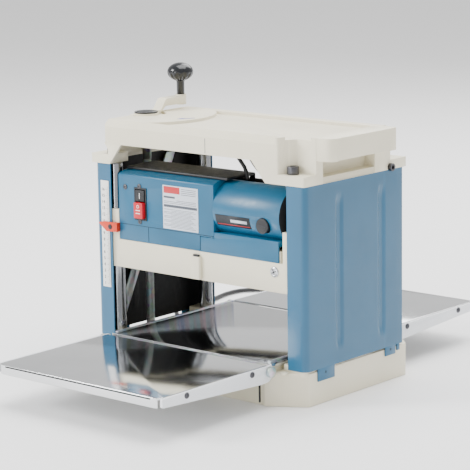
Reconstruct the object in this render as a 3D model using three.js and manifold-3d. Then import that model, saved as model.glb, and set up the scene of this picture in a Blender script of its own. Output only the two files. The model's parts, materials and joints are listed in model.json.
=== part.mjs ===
// Portable thickness planer, modelled in millimetres.
// +X is the operator's right, +Y is the feed direction and +Z is up.
// The origin is the centre of the base's underside.
import * as THREE from 'three';
import { mergeVertices } from 'three/addons/utils/BufferGeometryUtils.js';
import Module from 'manifold-3d';

const wasm = await Module();
wasm.setup();

// ---------------------------------------------------------------- dimensions
const GAP = 0.3; // clearance between solids that touch
const TABLE_TOP = 65; // working surface above the bench

// base casting
const BASE_HALF_X = 208.7;
const BASE_HALF_Y = 146;
const BASE_TOP = 50;
const BASE_CORNER_X = 152; // where the corner chamfer starts
const BASE_CORNER_Y = 110;
const BASE_REAR_CORNER_Y = 130;
const PEDESTAL_TOP = 56.7;

// columns, lead screws and their covers
const COLUMN_X = 181;
const COLUMN_Y = 103.5;
const COLUMN_R = 11;
const SCREW_Y = -32;
const SCREW_R = 7;
const COVER_HALF_X = 211;
const COVER_HALF_Y = 120.7;
const COVER_BOTTOM = 54;
const COVER_TOP = 329.3;
const COVER_SHEET = 2;
const COVER_STRIP_EDGE_X = 177;

// folding sub-tables
const HINGE_Y = 152;
const HINGE_Z = 56;
const ROD_R = 5.7;
const TABLE_HALF_X = 162.2;
const TABLE_FAR_Y = 385.5;
const ARM_INNER_X = 162.6;
const ARM_OUTER_X = 167;

// top frame
const FRAME_FRONT_Y = -124;
const FRAME_REAR_Y = 80;
const FRAME_TOP = 398.5;
const FRAME_SKIRT = 361.5; // lower edge of the front panel
const FRAME_FOOT = 329.6; // underside of the four legs
const LEDGE_TOP = 344.5;
const FRAME_BOLT_Y = 109.5;
const FRAME_WALL = 5;
const HANDLE_X = 241.5;
const HUB_TOP = 396; // round boss under the crank

// cutter head, drawn about 100 mm above the table
const HEAD_BOTTOM = 166.5;
const HEAD_FRONT = -116;
const CHEEK_IN = 153.7;
const CHEEK_OUT = 158.7;
const DECK_TOP = 228;
const DRUM_Z = 192;
const DRUM_R = 24;
const KNIFE_TIP_R = 26;
const ROLLER_Y = 58;
const ROLLER_Z = 180;
const ROLLER_R = 14.2;
const MOTOR_Y = -77;
const MOTOR_Z = 277;
const MOTOR_R = 41.6;
const PULLEY_X0 = 162;
const PULLEY_X1 = 171;
const DRUM_PULLEY_R = 18;
const MOTOR_PULLEY_R = 13;
const BOX_TOP = 315;

// crank on the left lead screw
const CRANK_REACH = 82.5;

// power cord
const CORD_R = 3.75;
const COIL_X = -190;
const COIL_Y = 419;
const COIL_R = 41;
const COIL_HALF_WIDTH = 11.6;
const COIL_TOP = 15.6;

// ---------------------------------------------------------------- materials
const finish = (color, roughness, metalness) => ({ color, roughness, metalness });
const CREAM = finish(0xe8e5d9, 0.5, 0);
const BLUE = finish(0x3f86b4, 0.45, 0);
const BLACK = finish(0x1d2024, 0.55, 0);
const STEEL = finish(0xc4c8cb, 0.25, 1);
const IRON = finish(0x9b9da0, 0.3, 1);
const ZINC = finish(0xb9bdc0, 0.4, 1);
const WHITE = finish(0xf2f2ee, 0.5, 0);
const ORANGE = finish(0xe25a30, 0.5, 0);
const RED = finish(0xd5303c, 0.45, 0);
const COPPER = finish(0xa9693c, 0.4, 1);
const RUBBER = finish(0x17181a, 0.8, 0);

// ---------------------------------------------------------------- solids
function solid(geometry) {
  const bare = geometry.clone();
  bare.deleteAttribute('normal');
  bare.deleteAttribute('uv');
  const merged = mergeVertices(bare, 1e-4);
  return new wasm.Manifold(new wasm.Mesh({
    numProp: 3,
    vertProperties: new Float32Array(merged.attributes.position.array),
    triVerts: new Uint32Array(merged.index.array),
  }));
}

function box(x0, x1, y0, y1, z0, z1) {
  const block = new THREE.BoxGeometry(x1 - x0, y1 - y0, z1 - z0);
  return solid(block.translate((x0 + x1) / 2, (y0 + y1) / 2, (z0 + z1) / 2));
}

// A mirrored pair of solids would be two bodies, so a side is +1 or -1 and each is made alone.
const sideBox = (side, x0, x1, y0, y1, z0, z1) =>
  box(Math.min(side * x0, side * x1), Math.max(side * x0, side * x1), y0, y1, z0, z1);

function outline(points, radius = 0) {
  const shape = new THREE.Shape();
  const corners = points.map((p) => new THREE.Vector2(p[0], p[1]));
  corners.forEach((corner, i) => {
    const before = corners[(i + corners.length - 1) % corners.length];
    const after = corners[(i + 1) % corners.length];
    const r = points[i][2] ?? radius;
    const enter = before.clone().sub(corner).setLength(r).add(corner);
    const leave = after.clone().sub(corner).setLength(r).add(corner);
    if (i === 0) shape.moveTo(enter.x, enter.y);
    else shape.lineTo(enter.x, enter.y);
    if (r > 0) shape.quadraticCurveTo(corner.x, corner.y, leave.x, leave.y);
  });
  shape.closePath();
  return shape;
}

function extrude(shape, depth, basis, origin, curveSegments = 4) {
  const geometry = new THREE.ExtrudeGeometry(shape, { depth, bevelEnabled: false, curveSegments });
  geometry.applyMatrix4(new THREE.Matrix4().makeBasis(...basis));
  return solid(geometry.translate(...origin));
}

const X = new THREE.Vector3(1, 0, 0);
const Y = new THREE.Vector3(0, 1, 0);
const Z = new THREE.Vector3(0, 0, 1);

// Prisms whose outline is drawn in XY, in YZ or in XZ.
const prismZ = (points, z0, z1, r = 0) => extrude(outline(points, r), z1 - z0, [X, Y, Z], [0, 0, z0]);
const prismX = (points, x0, x1, r = 0) => extrude(outline(points, r), x1 - x0, [Y, Z, X], [x0, 0, 0]);
const prismY = (points, y0, y1, r = 0) =>
  extrude(outline(points, r), y1 - y0, [X, Z, Y.clone().negate()], [0, y1, 0]);

function cylinder(radius, length, segments = 20) {
  return new THREE.CylinderGeometry(radius, radius, length, segments);
}
const cylZ = (r, x, y, z0, z1, n) => solid(
  cylinder(r, z1 - z0, n).rotateX(Math.PI / 2).translate(x, y, (z0 + z1) / 2));
const cylX = (r, y, z, x0, x1, n) => solid(
  cylinder(r, x1 - x0, n).rotateZ(-Math.PI / 2).translate((x0 + x1) / 2, y, z));
const cylY = (r, x, z, y0, y1, n) => solid(
  cylinder(r, y1 - y0, n).translate(x, (y0 + y1) / 2, z));

const join = (...parts) => parts.reduce((a, b) => a.add(b));
const cut = (body, ...tools) => tools.reduce((a, b) => a.subtract(b), body);

const planer = new THREE.Group();

function part(name, body, look) {
  const { vertProperties, triVerts } = body.getMesh();
  const geometry = new THREE.BufferGeometry();
  geometry.setAttribute('position', new THREE.BufferAttribute(new Float32Array(vertProperties), 3));
  geometry.setIndex(new THREE.BufferAttribute(new Uint32Array(triVerts), 1));
  const faceted = geometry.toNonIndexed();
  faceted.computeVertexNormals();
  const mesh = new THREE.Mesh(faceted, new THREE.MeshStandardMaterial(look));
  mesh.name = name;
  planer.add(mesh);
}

const SIDES = [['left', -1], ['right', 1]];
const ENDS = [['front', -1], ['rear', 1]];

// ---------------------------------------------------------------- base and main table
function base() {
  const [cx, cy] = [BASE_CORNER_X, BASE_CORNER_Y];
  const [bx, by] = [BASE_HALF_X, BASE_HALF_Y];
  const rear = BASE_REAR_CORNER_Y;
  const nip = by - rear;
  let body = prismZ([
    [-cx, -by], [cx, -by], [bx, -cy], [bx, rear], [bx - nip, by], [nip - bx, by], [-bx, rear], [-bx, -cy],
  ], 0, BASE_TOP, 3);
  body = join(body, box(-158, 158, -138, 138, BASE_TOP - 4, PEDESTAL_TOP));
  for (const [, end] of ENDS) {
    const face = end * (by - 4);
    body = cut(body, box(-cx + 1, cx - 1, Math.min(face, end * 160), Math.max(face, end * 160), -1, 51));
    for (const x of [-120, 0, 120]) {
      const [y0, y1] = [Math.min(end * 136, end * 158), Math.max(end * 136, end * 158)];
      body = join(body, box(x - 10, x + 10, y0, y1, 42, HINGE_Z));
    }
    body = cut(body, cylX(ROD_R + GAP, end * HINGE_Y, HINGE_Z, -170, 170));
    for (const [, side] of SIDES) {
      const [y0, y1] = [Math.min(end * 86, end * 118), Math.max(end * 86, end * 118)];
      const post = [[164, y0], [206.5, y0], [206.5, y1], [164, y1]].map(([x, y]) => [side * x, y, 6]);
      body = join(body, prismZ(side > 0 ? post : post.reverse(), BASE_TOP - 4, 60));
      body = cut(body, cylZ(COLUMN_R + GAP, side * COLUMN_X, end * COLUMN_Y, 30, 61));
    }
  }
  // slots in which the rear table's arms and bolt heads stand
  for (const [, side] of SIDES) body = cut(body, sideBox(side, cx, 175, 139.5, 160, 38, 51));
  body = cut(body, box(-196, 196, -86, 86, -1, 38), box(-148, 148, -86, 86, 37, BASE_TOP));
  return cut(body, ...SIDES.map(([, side]) => cylZ(SCREW_R + 0.6, side * COLUMN_X, SCREW_Y, 30, 61)));
}
part('base', base(), CREAM);
part('main_table', prismZ(
  [[-TABLE_HALF_X, -142], [TABLE_HALF_X, -142], [TABLE_HALF_X, 142], [-TABLE_HALF_X, 142]],
  PEDESTAL_TOP + GAP, TABLE_TOP, 2), STEEL);
for (const [name, side] of SIDES) {
  part(`${name}_table_rail`, sideBox(side, 152.5, 158, -138, 140, TABLE_TOP + GAP, 67.8), ZINC);
}

// ---------------------------------------------------------------- folding sub-tables
function tablePlate(end) {
  const near = end * (HINGE_Y + 0.7);
  const far = end * TABLE_FAR_Y;
  const lip = end * (TABLE_FAR_Y - 2.5);
  const section = [[near, 62], [lip, 62], [lip, 50], [far, 50], [far, TABLE_TOP], [near, TABLE_TOP]];
  const folded = prismX(end > 0 ? section : section.reverse(), -TABLE_HALF_X, TABLE_HALF_X);
  const plan = [
    [-TABLE_HALF_X, near, 0], [-TABLE_HALF_X, far, 12], [TABLE_HALF_X, far, 12], [TABLE_HALF_X, near, 0],
  ];
  return folded.intersect(prismZ(end > 0 ? plan.reverse() : plan, 40, 70));
}

function tableArm(side, end) {
  const at = (y) => end * y;
  const profile = [
    [at(143), 50, 4], [at(150), 41, 6], [at(170), 40, 6], [at(383), 51.5, 3],
    [at(383), 64.4, 2], [at(144), 64.4, 4],
  ];
  const ordered = end > 0 ? profile : profile.reverse();
  const [x0, x1] = side > 0 ? [ARM_INNER_X, ARM_OUTER_X] : [-ARM_OUTER_X, -ARM_INNER_X];
  return cut(prismX(ordered, x0, x1), cylX(4.4, end * HINGE_Y, HINGE_Z, x0 - 1, x1 + 1, 20));
}

for (const [name, end] of ENDS) {
  const rod = join(
    cylX(ROD_R, end * HINGE_Y, HINGE_Z, -TABLE_HALF_X, TABLE_HALF_X, 20),
    cylX(4, end * HINGE_Y, HINGE_Z, -170, 170, 20),
    cylX(8.25, end * HINGE_Y, HINGE_Z, ARM_OUTER_X + GAP, 173.5, 24),
    cylX(8.25, end * HINGE_Y, HINGE_Z, -173.5, -ARM_OUTER_X - GAP, 24));
  part(`${name}_hinge_rod`, rod, ZINC);
  part(`${name}_table_plate`, tablePlate(end), STEEL);
  for (const [sideName, side] of SIDES) {
    part(`${name}_table_${sideName}_arm`, tableArm(side, end), WHITE);
  }
}

// ---------------------------------------------------------------- columns, covers and braces
for (const [endName, end] of ENDS) {
  for (const [sideName, side] of SIDES) {
    part(`${endName}_${sideName}_column`,
      cylZ(COLUMN_R, side * COLUMN_X, end * COLUMN_Y, 30 + GAP, 329), STEEL);
    const boltY = end * FRAME_BOLT_Y;
    part(`${endName}_${sideName}_frame_bolt`, cut(
      join(cylZ(9, side * COLUMN_X, boltY, LEDGE_TOP + GAP, 356.5, 20),
        cylZ(5, side * COLUMN_X, boltY, 336, 350, 16)),
      cylZ(4.6, side * COLUMN_X, boltY, 350, 358, 6)), BLACK);
  }
}

function sideCover(side) {
  const [ox, oy, ix] = [COVER_HALF_X, COVER_HALF_Y, COVER_HALF_X - COVER_SHEET];
  const iy = COVER_HALF_Y - COVER_SHEET;
  const plan = [
    [COVER_STRIP_EDGE_X, -oy, 0], [ox, -oy, 9], [ox, oy, 9], [COVER_STRIP_EDGE_X, oy, 0],
    [COVER_STRIP_EDGE_X, iy, 0], [ix, iy, 7], [ix, -iy, 7], [COVER_STRIP_EDGE_X, -iy, 0],
  ].map(([x, y, r]) => [side * x, y, r]);
  const channel = prismZ(side > 0 ? plan : plan.reverse(), COVER_BOTTOM, COVER_TOP);
  const tabs = [[-92, -52, 35], [74, 100, 40], [104, 111, 44]].map(([y0, y1, z0]) =>
    sideBox(side, ix, ox, y0, y1, z0, COVER_BOTTOM + 1));
  return join(channel, ...tabs);
}

// A flat galvanised bar across each pair of columns, leaning back on the left and forward on the right.
function brace(side) {
  const lean = (y, z) => [-side * y, z, 3];
  const bar = [lean(-95, 62), lean(-74, 62), lean(57.5, 326), lean(36.5, 326)];
  const [x0, x1] = side > 0 ? [201.5, 204] : [-204, -201.5];
  const strip = prismX(side > 0 ? bar.reverse() : bar, x0, x1);
  return cut(strip, cylX(3.5, side * 67.6, 93.3, x0 - 1, x1 + 1, 16));
}

for (const [name, side] of SIDES) {
  part(`${name}_side_cover`, sideCover(side), BLUE);
  part(`${name}_brace`, brace(side), ZINC);
}
part('thickness_scale', box(-198, -181, -COVER_HALF_Y - 1, -COVER_HALF_Y - GAP, 132, 302), WHITE);

// ---------------------------------------------------------------- top frame
function gripPocket(side, y0, y1, z0, z1) {
  return sideBox(side, 194, HANDLE_X - FRAME_WALL, y0, y1, z0, z1);
}

function topFrame() {
  const [front, rear, wall] = [FRAME_FRONT_Y, FRAME_REAR_Y, FRAME_WALL];
  const notch = [[164, front, 3], [171, -106, 5], [178, -96, 2], [213, -96, 0]];
  const upper = prismZ([
    [-186, front, 6], ...notch, [213, rear, 6], [-186, rear, 10],
  ], FRAME_SKIRT, FRAME_TOP);
  const hub = cylZ(27, -COLUMN_X, SCREW_Y, 380, HUB_TOP, 24);
  const handle = prismZ([
    [212, -95.5, 0], [HANDLE_X, -95.5, 18], [HANDLE_X, 65, 8], [212, 65, 0],
  ], 365, FRAME_TOP);
  const leftHandle = prismZ([
    [-HANDLE_X, -68, 12], [-185, -68, 0], [-185, 72, 0], [-HANDLE_X, 72, 12],
  ], 345, 378);
  // front and rear skirts, which widen into the legs
  const skirt = (y0, y1) => [
    prismY([[112, 363], [140, FRAME_FOOT], [160, FRAME_FOOT], [160, 363]], y0, y1),
    prismY([[-186, 363], [-178, 353], [-178, FRAME_FOOT], [-175, FRAME_FOOT], [-149, 363]], y0, y1),
  ];
  const rightLeg = prismZ([
    [140, front, 0], [213, front, 3], [213, -82, 0], [200, -82, 0], [164, -107, 0], [161.6, -119, 0],
    [140, -119, 0],
  ], FRAME_FOOT, LEDGE_TOP);
  const notchWall = prismZ([
    ...notch, [213, -91.5, 0], [175.5, -91.5, 0], [167, -103, 0], [161.6, -119, 0], [153, -119, 0],
    [153, front, 0],
  ], FRAME_FOOT, 363);
  const leftLeg = box(-213, -175, front, -82, FRAME_FOOT, LEDGE_TOP);
  const rearLegs = [
    box(140, 213, 82, 124, FRAME_FOOT, LEDGE_TOP),
    box(-213, -175, 82, 124, FRAME_FOOT, LEDGE_TOP),
  ];
  const sideWalls = [
    box(208, 213, -96, rear, FRAME_FOOT, 363),
    box(208, 213, rear - wall, 124, FRAME_FOOT, LEDGE_TOP),
    box(-213, -208, -84, 84, FRAME_FOOT, LEDGE_TOP),
    box(-213, -186, -84, 84, LEDGE_TOP - wall, LEDGE_TOP),
    box(-191, -186, -96, rear, LEDGE_TOP - wall, 363),
  ];
  const rearWalls = [
    box(140, 213, rear - wall, 84, FRAME_FOOT, 363),
    box(-191, -175, rear - wall, 84, FRAME_FOOT, 363),
  ];
  const gripBox = box(189.5, 212, -84, 50, 334, 393);
  const cavity = prismZ([
    [-181, front + wall], [161.6, front + wall], [167, -103], [175.5, -91.5], [208, -91.5],
    [208, rear - wall], [-181, rear - wall],
  ], 300, 389.5);
  let body = cut(upper, cavity);
  body = join(body, hub, handle, leftHandle, ...skirt(front, front + wall), ...skirt(rear - wall, rear),
    rightLeg, notchWall, leftLeg, ...rearLegs, ...sideWalls, ...rearWalls, gripBox);
  // finger spaces under both handles
  body = cut(body, gripPocket(1, -80, 45, 339, 392), box(212, 260, -80, 45, 330, 366));
  body = cut(body, sideBox(-1, 196, HANDLE_X - wall, -62, 64, 345.2, 372), box(-236, -214, -62, 64, 340, 350));
  // shallow tray in the top, with a round edge that clears the crank
  const tray = prismZ([[-160, -112, 6], [203, -112, 6], [203, 55, 12], [-160, 55, 6]], 394, 402);
  body = cut(body, cut(tray, cylZ(112, -COLUMN_X, SCREW_Y, 390, 403, 40)));
  // round pocket in which the crank's hub turns
  const pocket = cylZ(33, -COLUMN_X, SCREW_Y, 394.6, 402, 32);
  body = cut(body, cut(pocket, cylZ(27, -COLUMN_X, SCREW_Y, 390, 396, 24)));
  // sloping shoulders along the front, left and rear upper edges
  body = cut(body,
    prismX([[front - 1, 387], [front + 12, 399.5], [front - 1, 399.5]], -187, 159),
    prismX([[rear + 1, 399.5], [rear - 9, 399.5], [rear + 1, 390]], -187, 214));
  for (const [, side] of SIDES) {
    for (const [, end] of ENDS) {
      body = cut(body, cylZ(5.3, side * COLUMN_X, end * FRAME_BOLT_Y, 320, 360, 16));
    }
  }
  body = cut(body, cylZ(SCREW_R + 0.6, -COLUMN_X, SCREW_Y, 320, 402));
  return body;
}
part('top_frame', topFrame(), CREAM);

// ---------------------------------------------------------------- lead screws and their chain
const SPROCKET_R = 10;
function leadScrew(side, top) {
  const x = side * COLUMN_X;
  return join(cylZ(SCREW_R, x, SCREW_Y, 16, top), cylZ(SPROCKET_R, x, SCREW_Y, 22, 28, 20));
}
part('left_lead_screw', leadScrew(-1, 397), ZINC);
part('right_lead_screw', leadScrew(1, 388), ZINC);

function chainLoop(r, z0, z1) {
  const loop = new THREE.Shape();
  loop.absarc(COLUMN_X, 0, r, -Math.PI / 2, Math.PI / 2, false);
  loop.absarc(-COLUMN_X, 0, r, Math.PI / 2, Math.PI * 1.5, false);
  loop.closePath();
  return extrude(loop, z1 - z0, [X, Y, Z], [0, SCREW_Y, z0], 12);
}
part('height_chain', cut(chainLoop(13.3, 22, 28), chainLoop(SPROCKET_R + 0.4, 21, 29)), IRON);

// ---------------------------------------------------------------- crank
function crankArm() {
  const [x0, x1] = [-COLUMN_X - 9, -COLUMN_X + 9];
  const knobY = SCREW_Y + CRANK_REACH;
  const level = HUB_TOP + GAP;
  const profile = [
    [SCREW_Y, level], [-8, level, 2], [4, 407, 3], [knobY, 407], [knobY, 418.8], [6, 418.8, 4],
    [-6, 402, 3], [SCREW_Y, 402],
  ];
  const body = join(
    prismX(profile, x0, x1),
    cylZ(20, -COLUMN_X, SCREW_Y, level, 399.5),
    cylZ(9, -COLUMN_X, knobY, 405, 421),
    cylZ(3.5, -COLUMN_X, knobY, 420, 455, 16));
  const seat = cylZ(21, -COLUMN_X, SCREW_Y, 399.5, 404);
  return cut(body, seat, cylZ(SCREW_R + 0.1, -COLUMN_X, SCREW_Y, 390, 397.2));
}
part('crank_arm', crankArm(), CREAM);
part('crank_cap', cylZ(18.5, -COLUMN_X, SCREW_Y, 399.8, 402.3, 28), BLACK);

function knob() {
  const points = [[0, 0], [6.4, 0], [6.4, 20.5]];
  const arc = 9;
  for (let i = 1; i <= arc; i += 1) {
    const a = -0.42 * Math.PI + (0.92 * Math.PI * i) / arc;
    points.push([21 * Math.cos(a), 36 + 15 * Math.sin(a)]);
  }
  points[points.length - 1] = [0, 51];
  const profile = points.map(([r, z]) => new THREE.Vector2(r, z));
  const body = solid(new THREE.LatheGeometry(profile, 24).rotateX(Math.PI / 2)
    .translate(-COLUMN_X, SCREW_Y + CRANK_REACH, 421.3));
  return cut(body, cylZ(3.6, -COLUMN_X, SCREW_Y + CRANK_REACH, 421, 455.5, 16));
}
part('crank_knob', knob(), BLACK);

// ---------------------------------------------------------------- cutter head frame
function headFrame() {
  const x = CHEEK_OUT;
  let body = join(
    box(-166, 166, HEAD_FRONT, -109, HEAD_BOTTOM, 210.7),
    box(-x, x, -112.7, -109, 205, DECK_TOP),
    box(-x, x, 109, 116, HEAD_BOTTOM, DECK_TOP),
    box(-x, x, -110, 110, 224, DECK_TOP));
  for (const [, side] of SIDES) {
    body = join(body, sideBox(side, CHEEK_IN, CHEEK_OUT, -110, 110, HEAD_BOTTOM, DECK_TOP));
    body = join(body, sideBox(side, 155, 196, SCREW_Y - 14, SCREW_Y + 14, 168, 180));
    for (const [, end] of ENDS) {
      const [y0, y1] = [Math.min(end * 93, end * 116), Math.max(end * 93, end * 116)];
      body = join(body,
        sideBox(side, 155, 177, y0, y1, HEAD_BOTTOM, 210.7),
        sideBox(side, 165.3, 177, y0, y1, HEAD_BOTTOM, 258),
        cylZ(14.5, side * COLUMN_X, end * COLUMN_Y, HEAD_BOTTOM, 258, 28));
    }
  }
  // chip slot over the drum
  body = cut(body, box(-150, 150, 4, 30, 220, 230));
  for (const [, side] of SIDES) {
    body = cut(body, cylZ(12.3, side * COLUMN_X, SCREW_Y, 167, 181, 24));
    for (const [, end] of ENDS) {
      body = cut(body, cylZ(COLUMN_R + 0.2, side * COLUMN_X, end * COLUMN_Y, 160, 260));
    }
  }
  body = cut(body, cylX(17.3, 0, DRUM_Z, -170, 170));
  for (const end of [-1, 1]) body = cut(body, cylX(6.3, end * ROLLER_Y, ROLLER_Z, -170, 170, 20));
  return body;
}
part('head_frame', headFrame(), CREAM);

for (const [name, side] of SIDES) {
  part(`${name}_lead_nut`, cut(
    cylZ(12, side * COLUMN_X, SCREW_Y, 168, 180),
    cylZ(SCREW_R + 0.2, side * COLUMN_X, SCREW_Y, 160, 190)), COPPER);
  part(`${name}_drum_bearing`, cut(
    cylX(17, 0, DRUM_Z, side > 0 ? CHEEK_IN : -CHEEK_OUT, side > 0 ? CHEEK_OUT : -CHEEK_IN),
    cylX(8.1, 0, DRUM_Z, -170, 170)), STEEL);
}

// ---------------------------------------------------------------- housings on the head
function switchBox() {
  const [x0, x1, wall] = [-165, 31.7, 3];
  const outer = prismX([
    [HEAD_FRONT, 234, 0], [HEAD_FRONT, BOX_TOP, 3], [-101, 320, 3], [-70, 320, 0], [-70, 234, 0],
  ].reverse(), x0, x1);
  const inner = prismX([
    [HEAD_FRONT + wall, 237], [HEAD_FRONT + wall, 312.5], [-101, 317], [-60, 317], [-60, 237],
  ].reverse(), x0 + wall, x1 - wall);
  const band = box(x0, 4, HEAD_FRONT, HEAD_FRONT + 2.8, 211, 236);
  const window = box(-128, -107.7, HEAD_FRONT - 1, HEAD_FRONT + 5, 248, 294);
  return cut(join(cut(outer, inner), band), window);
}
part('switch_box', switchBox(), BLUE);

function motorHousing() {
  const [x0, x1] = [32, 161];
  const shell = join(
    cylX(MOTOR_R, MOTOR_Y, MOTOR_Z, x0, x1, 36),
    box(x0, 157, HEAD_FRONT, -45, 234.6, 243));
  const band = box(4.4, 157, HEAD_FRONT, HEAD_FRONT + 2.8, 211, 233.7);
  const web = box(x0 + 1, 157, HEAD_FRONT, HEAD_FRONT + 2.8, 232, 236);
  return cut(join(shell, band, web),
    cylX(MOTOR_R - 3.4, MOTOR_Y, MOTOR_Z, x0 - 1, x1 - 4, 36),
    cylX(7, MOTOR_Y, MOTOR_Z, x1 - 10, x1 + 1, 20),
    cylY(12, 130, 264, -125, -100, 20));
}
part('motor_housing', motorHousing(), BLUE);
part('brush_cap', cylY(11.6, 130, 264, -121, -114.5, 20), BLACK);
part('motor_stator', cut(
  cylX(38, MOTOR_Y, MOTOR_Z, 55, 112, 24), cylX(29, MOTOR_Y, MOTOR_Z, 50, 120, 24)), IRON);
part('motor_armature', join(
  cylX(28, MOTOR_Y, MOTOR_Z, 58, 108, 28),
  cylX(6, MOTOR_Y, MOTOR_Z, 40, PULLEY_X1, 20),
  cylX(MOTOR_PULLEY_R, MOTOR_Y, MOTOR_Z, PULLEY_X0, PULLEY_X1, 24)), COPPER);

function chipCover() {
  const lid = prismX([[-98, 320.4, 0], [-31, 320.4, 0], [-31, 325, 3], [-98, 325, 3]], -163, 44);
  return join(lid, box(34, 44, -34, -31, 303, 322));
}
part('chip_cover', chipCover(), BLACK);

function chipHood() {
  const outer = prismX([[-30, DECK_TOP + GAP, 0], [72, DECK_TOP + GAP, 0], [72, 293, 14], [-30, 316, 8]],
    -152, 152);
  const inner = prismX([[-27, 220], [90, 220], [90, 285], [-27, 311.5]], -149, 149);
  return cut(outer, inner);
}
part('chip_hood', chipHood(), BLACK);

function pointer() {
  const blade = [[-203, 234.6], [-186, 222], [-163.5, 223], [-163.5, 237], [-190, 237.4]];
  const foot = box(-172, -163.5, -122.2, HEAD_FRONT - GAP, 223, 237);
  return join(prismY(blade, -123.6, -122.1), foot);
}
part('thickness_pointer', pointer(), ORANGE);

part('depth_gauge_cover', cut(
  prismZ([[-12, -122.5, 3], [7, -122.5, 3], [7, HEAD_FRONT - GAP, 0], [-12, HEAD_FRONT - GAP, 0]],
    168, 203),
  box(-8.6, 3.6, -120.2, HEAD_FRONT, 160, 210)), CREAM);
part('depth_gauge', box(-8, 3, -119.8, -116.8, 168.5, 206), BLACK);

part('on_button', box(-127, -108.7, -118.6, -104, 275.3, 293), BLACK);
part('off_button', box(-127, -108.7, -123, -104, 249, 273.7), RED);

// ---------------------------------------------------------------- drum, feed rollers and belt
const KNIFE_ANGLES = [Math.PI / 6, (7 * Math.PI) / 6];
function radialPlate(angle, r0, r1, halfX, halfT) {
  const plate = new THREE.BoxGeometry(2 * halfX, r1 - r0, 2 * halfT);
  return solid(plate.translate(0, (r0 + r1) / 2, 0).rotateX(angle).translate(0, 0, DRUM_Z));
}
function drum() {
  const body = join(
    cylX(DRUM_R, 0, DRUM_Z, -150, 150, 32),
    cylX(8, 0, DRUM_Z, -158, PULLEY_X1),
    cylX(DRUM_PULLEY_R, 0, DRUM_Z, PULLEY_X0, PULLEY_X1, 28));
  return cut(body, ...KNIFE_ANGLES.map((a) => radialPlate(a, 14, 30, 152, 1.8)));
}
part('cutter_drum', drum(), STEEL);
KNIFE_ANGLES.forEach((angle, i) => {
  part(`planer_knife_${i + 1}`, radialPlate(angle, 14.4, KNIFE_TIP_R, 149, 1.5), STEEL);
});
for (const [name, end] of [['infeed', -1], ['outfeed', 1]]) {
  part(`${name}_roller`, join(
    cylX(ROLLER_R, end * ROLLER_Y, ROLLER_Z, -148, 148, 24),
    cylX(6, end * ROLLER_Y, ROLLER_Z, -161, 161, 20)), RUBBER);
}

function beltLoop(extra, x0, x1) {
  const d = new THREE.Vector2(-MOTOR_Y, DRUM_Z - MOTOR_Z);
  const lean = Math.acos((DRUM_PULLEY_R - MOTOR_PULLEY_R) / d.length());
  const along = d.angle();
  const loop = new THREE.Shape();
  loop.absarc(MOTOR_Y, MOTOR_Z, MOTOR_PULLEY_R + extra, along + Math.PI - lean, along + Math.PI + lean, false);
  const [from, to] = [along + Math.PI + lean, along + 3 * Math.PI - lean];
  loop.absarc(0, DRUM_Z, DRUM_PULLEY_R + extra, from, to, false);
  loop.closePath();
  return extrude(loop, x1 - x0, [Y, Z, X], [x0, 0, 0], 12);
}
part('drive_belt', cut(beltLoop(2.6, PULLEY_X0 + 1, PULLEY_X1 - 1), beltLoop(0.5, 150, 180)), RUBBER);

// ---------------------------------------------------------------- cables
function tube(points, radius, steps, sides = 8) {
  const circle = new THREE.Shape();
  for (let i = 0; i < sides; i += 1) {
    const a = (2 * Math.PI * i) / sides;
    const [x, y] = [radius * Math.cos(a), radius * Math.sin(a)];
    if (i === 0) circle.moveTo(x, y);
    else circle.lineTo(x, y);
  }
  circle.closePath();
  const path = new THREE.CatmullRomCurve3(points.map((p) => new THREE.Vector3(...p)), false, 'centripetal');
  return solid(new THREE.ExtrudeGeometry(circle, { steps, bevelEnabled: false, extrudePath: path }));
}

// The lead from the head bows up to a clamp inside the top frame.
const HEAD_LEAD = [
  [49, -56, 317.5], [47.8, -56, 326], [43, -56, 336], [35, -56, 345], [27, -56, 355], [21, -56, 371],
  [19, -56, 389],
];
part('head_lead', tube(HEAD_LEAD, 3, 8), RUBBER);

const GLAND_Z = 337;
const GLAND_Y = 103;
function taper(r0, r1, length) {
  return new THREE.CylinderGeometry(r1, r0, length, 16).rotateZ(Math.PI / 2);
}
part('cord_gland', solid(taper(8, 5.2, 25.4).translate(-226.1, GLAND_Y, GLAND_Z)), RUBBER);

// The free cord: out to the left, down behind the left cover and back along the bench to its coil.
const CORD_ROUTE = [
  [-239.6, 103, 337], [-249, 103, 336], [-260, 103.5, 330], [-268, 104.5, 318], [-271, 106, 300],
  [-271.5, 108, 260], [-271, 111, 210], [-270.5, 114, 160], [-270.5, 118, 110], [-272, 124, 66],
  [-277, 134, 32], [-286, 150, 12.5], [-299, 173, 4.8], [-318, 207, 4.1], [-342, 257, 4.1],
  [-362, 305, 4.1], [-376, 352, 4.1], [-384, 392, 4.1], [-380, 426, 4.1], [-358, 449, 4.1],
  [-325, 461, 4.1], [-280, 466, 4.1], [-245, 467, 4.1], [-219.2, 467, 4.1],
];
part('power_cord', tube(CORD_ROUTE, CORD_R, 52), RUBBER);

function coilRing() {
  const [r0, r1] = [COIL_R - COIL_HALF_WIDTH, COIL_R + COIL_HALF_WIDTH];
  const section = [[r0, 0.35], [r1, 0.35], [r1, COIL_TOP], [r0, COIL_TOP], [r0, 0.35]];
  return solid(new THREE.LatheGeometry(section.map(([r, z]) => new THREE.Vector2(r, z)), 28)
    .rotateX(Math.PI / 2).translate(COIL_X, COIL_Y, 0));
}
part('cord_coil', coilRing(), RUBBER);

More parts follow.
